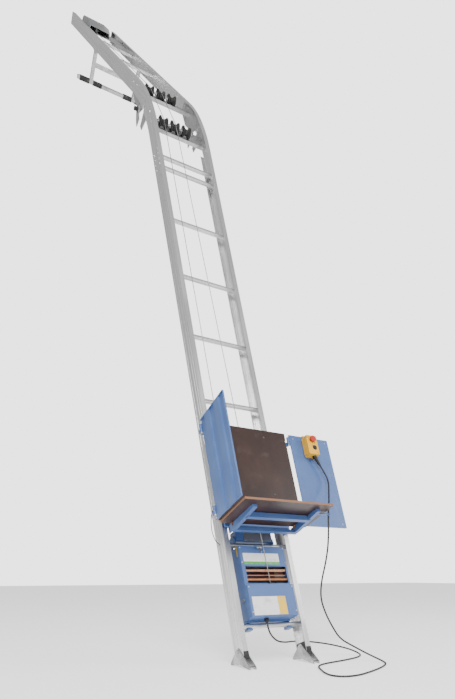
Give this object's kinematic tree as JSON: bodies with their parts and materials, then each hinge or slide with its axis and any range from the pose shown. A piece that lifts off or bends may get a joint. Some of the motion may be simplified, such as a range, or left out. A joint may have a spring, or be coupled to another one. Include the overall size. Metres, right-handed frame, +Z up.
{
  "type": "inclined ladder hoist",
  "caption": "Leaning ladder hoist with a folding roof head, rope winch between the rails, and a wheeled carriage with a folding load platform and side panels.",
  "frame": {"origin": "on the floor, midway between the two feet, in line with the ladder's front corner lines", "axes": "+X to the right across the rungs, +Y away from the user towards the wall, +Z up; the ladder leans 20 degrees from +Z towards +Y"},
  "size_m": [0.9493, 4.3407, 6.4199],
  "materials": {
    "aluminium_rail": "satin extruded",
    "aluminium_tube": "drawn",
    "zinc_steel": "zinc plated",
    "black_plastic": "moulded",
    "black_rubber": "matt",
    "blue_paint": "powder coat",
    "film_faced_plywood": "phenolic film",
    "grey_paint": "satin",
    "copper_rod": "drawn",
    "wire_rope": "galvanised",
    "yellow_plastic": "moulded",
    "red_plastic": "moulded"
  },
  "bodies": {
    "ladder": {"rail_left": "aluminium_rail", "rail_right": "aluminium_rail", "knee_rail_left": "aluminium_rail", "knee_rail_right": "aluminium_rail", "rungs": "aluminium_tube", "splice_plates": "zinc_steel", "base_bolts": "zinc_steel", "rail_end_blocks": "black_plastic", "base_pins_and_axle": "zinc_steel", "knee_crossplate": "zinc_steel", "knee_quadrants": "zinc_steel", "winch_frame": "blue_paint", "winch_case": "blue_paint", "winch_cover": "blue_paint", "guide_rods": "copper_rod", "gearmotor": "grey_paint", "winch_gland": "black_plastic", "switch_lead": "black_rubber", "rope_to_winch": "wire_rope", "control_cable_lower": "black_rubber"},
    "head": {"head_rail_left": "aluminium_rail", "head_rail_right": "aluminium_rail", "head_tubes": "aluminium_tube", "head_end_caps": "black_plastic", "head_axles_and_bolts": "zinc_steel", "sheave_guard": "grey_paint", "head_crossplate": "zinc_steel", "knee_brackets": "zinc_steel", "roof_rest": "zinc_steel", "rest_sleeves": "black_rubber", "rope_over_head": "wire_rope"},
    "carriage": {"carriage_frame": "blue_paint", "slide_pads": "black_plastic", "back_board": "film_faced_plywood", "hinge_rods": "zinc_steel", "rope_to_carriage": "wire_rope"},
    "platform": {"platform_board": "film_faced_plywood"},
    "left_side": {"left_panel": "blue_paint"},
    "right_side": {"right_panel": "blue_paint", "pendant_case": "yellow_plastic", "pendant_cable_relief": "black_plastic", "control_cable_upper": "black_rubber"},
    "stop_button": {"stop_button": "red_plastic"},
    "run_button": {"run_button": "black_plastic"},
    "foot_left": {"foot_left": "zinc_steel"},
    "foot_right": {"foot_right": "zinc_steel"},
    "drum": {"drum": "wire_rope"},
    "slack_rope_lever": {"slack_rope_lever": "zinc_steel"},
    "sheave": {"sheave": "wire_rope"},
    "lock_knobs": {"lock_knobs": "zinc_steel"},
    "lower_spool_left": {"lower_spool_left": "black_rubber"},
    "lower_spool_middle": {"lower_spool_middle": "black_rubber"},
    "lower_spool_right": {"lower_spool_right": "black_rubber"},
    "upper_spool_left": {"upper_spool_left": "black_rubber"},
    "upper_spool_middle": {"upper_spool_middle": "black_rubber"},
    "upper_spool_right": {"upper_spool_right": "black_rubber"},
    "roller_left_lower": {"roller_left_lower": "black_plastic"},
    "roller_right_lower": {"roller_right_lower": "black_plastic"},
    "roller_left_upper": {"roller_left_upper": "black_plastic"},
    "roller_right_upper": {"roller_right_upper": "black_plastic"}
  },
  "joints": [
    {"name": "carriage_travel", "type": "slide", "parent": "ladder", "child": "carriage", "axis": [0, 0.342, 0.9397], "range_m": [0, 2.6], "deforming": ["rope_to_carriage", "control_cable_lower"]},
    {"name": "head_fold", "type": "hinge", "parent": "ladder", "child": "head", "pos_m": [0, 1.5307, 4.03847], "axis": [-1, 0, 0], "range_deg": [-4, 20], "deforming": ["rope_to_winch"]},
    {"name": "platform_fold", "type": "hinge", "parent": "carriage", "child": "platform", "pos_m": [0, 0.16119, 0.78203], "axis": [-1, 0, 0], "range_deg": [0, 85]},
    {"name": "left_side_swing", "type": "hinge", "parent": "carriage", "child": "left_side", "pos_m": [-0.3, 0.30131, 1.09392], "axis": [0, -0.342, -0.9397], "range_deg": [0, 90]},
    {"name": "right_side_swing", "type": "hinge", "parent": "carriage", "child": "right_side", "pos_m": [0.3, 0.30131, 1.09392], "axis": [0, -0.342, -0.9397], "range_deg": [0, 90], "deforming": ["control_cable_upper"]},
    {"name": "stop_press", "type": "slide", "parent": "right_side", "child": "stop_button", "axis": [0, 0.9397, -0.342], "range_m": [0, 0.005], "stiffness_N_per_m": 900},
    {"name": "run_press", "type": "slide", "parent": "right_side", "child": "run_button", "axis": [0, 0.9397, -0.342], "range_m": [0, 0.004], "stiffness_N_per_m": 500},
    {"name": "foot_left_tilt", "type": "hinge", "parent": "ladder", "child": "foot_left", "pos_m": [-0.2, 0.08384, 0.08123], "axis": [1, 0, 0], "range_deg": [-15, 15]},
    {"name": "foot_right_tilt", "type": "hinge", "parent": "ladder", "child": "foot_right", "pos_m": [0.2, 0.08384, 0.08123], "axis": [1, 0, 0], "range_deg": [-15, 15]},
    {"name": "drum_spin", "type": "hinge", "parent": "ladder", "child": "drum", "pos_m": [0, 0.15047, 0.35494], "axis": [1, 0, 0], "continuous": true},
    {"name": "slack_lever_swing", "type": "hinge", "parent": "ladder", "child": "slack_rope_lever", "pos_m": [-0.025, 0.20336, 0.65814], "axis": [1, 0, 0], "range_deg": [-20, 12]},
    {"name": "sheave_spin", "type": "hinge", "parent": "head", "child": "sheave", "pos_m": [-0.08, 3.3623, 6.00014], "axis": [0, 0.7193, -0.6947], "continuous": true},
    {"name": "lock_knob_turn", "type": "hinge", "parent": "head", "child": "lock_knobs", "pos_m": [0, 1.72961, 4.08806], "axis": [1, 0, 0], "range_deg": [-180, 180]},
    {"name": "lower_spool_left_spin", "type": "hinge", "parent": "ladder", "child": "lower_spool_left", "pos_m": [-0.125, 1.43686, 3.84015], "axis": [1, 0, 0], "continuous": true},
    {"name": "upper_spool_left_spin", "type": "hinge", "parent": "head", "child": "upper_spool_left", "pos_m": [-0.125, 1.72686, 4.27089], "axis": [1, 0, 0], "continuous": true},
    {"name": "lower_spool_middle_spin", "type": "hinge", "parent": "ladder", "child": "lower_spool_middle", "pos_m": [-0.035, 1.43686, 3.84015], "axis": [1, 0, 0], "continuous": true},
    {"name": "upper_spool_middle_spin", "type": "hinge", "parent": "head", "child": "upper_spool_middle", "pos_m": [-0.035, 1.72686, 4.27089], "axis": [1, 0, 0], "continuous": true},
    {"name": "lower_spool_right_spin", "type": "hinge", "parent": "ladder", "child": "lower_spool_right", "pos_m": [0.055, 1.43686, 3.84015], "axis": [1, 0, 0], "continuous": true},
    {"name": "upper_spool_right_spin", "type": "hinge", "parent": "head", "child": "upper_spool_right", "pos_m": [0.055, 1.72686, 4.27089], "axis": [1, 0, 0], "continuous": true},
    {"name": "roller_left_lower_spin", "type": "hinge", "parent": "carriage", "child": "roller_left_lower", "pos_m": [-0.2, 0.30399, 0.78433], "axis": [1, 0, 0], "continuous": true},
    {"name": "roller_right_lower_spin", "type": "hinge", "parent": "carriage", "child": "roller_right_lower", "pos_m": [0.2, 0.30399, 0.78433], "axis": [1, 0, 0], "continuous": true},
    {"name": "roller_left_upper_spin", "type": "hinge", "parent": "carriage", "child": "roller_left_upper", "pos_m": [-0.2, 0.43054, 1.13202], "axis": [1, 0, 0], "continuous": true},
    {"name": "roller_right_upper_spin", "type": "hinge", "parent": "carriage", "child": "roller_right_upper", "pos_m": [0.2, 0.43054, 1.13202], "axis": [1, 0, 0], "continuous": true}
  ],
  "couplings": [
    {"joint": "roller_left_lower_spin", "follows": "carriage_travel", "rad_per_m": -76.923},
    {"joint": "roller_right_lower_spin", "follows": "carriage_travel", "rad_per_m": -76.923},
    {"joint": "roller_left_upper_spin", "follows": "carriage_travel", "rad_per_m": -76.923},
    {"joint": "roller_right_upper_spin", "follows": "carriage_travel", "rad_per_m": -76.923},
    {"joint": "lower_spool_left_spin", "follows": "carriage_travel", "rad_per_m": 40.323},
    {"joint": "upper_spool_left_spin", "follows": "carriage_travel", "rad_per_m": 40.323},
    {"joint": "sheave_spin", "follows": "carriage_travel", "rad_per_m": 22.222},
    {"joint": "lower_spool_middle_spin", "follows": "carriage_travel", "rad_per_m": -40.323},
    {"joint": "upper_spool_middle_spin", "follows": "carriage_travel", "rad_per_m": -40.323},
    {"joint": "drum_spin", "follows": "carriage_travel", "rad_per_m": -20.704}
  ]
}
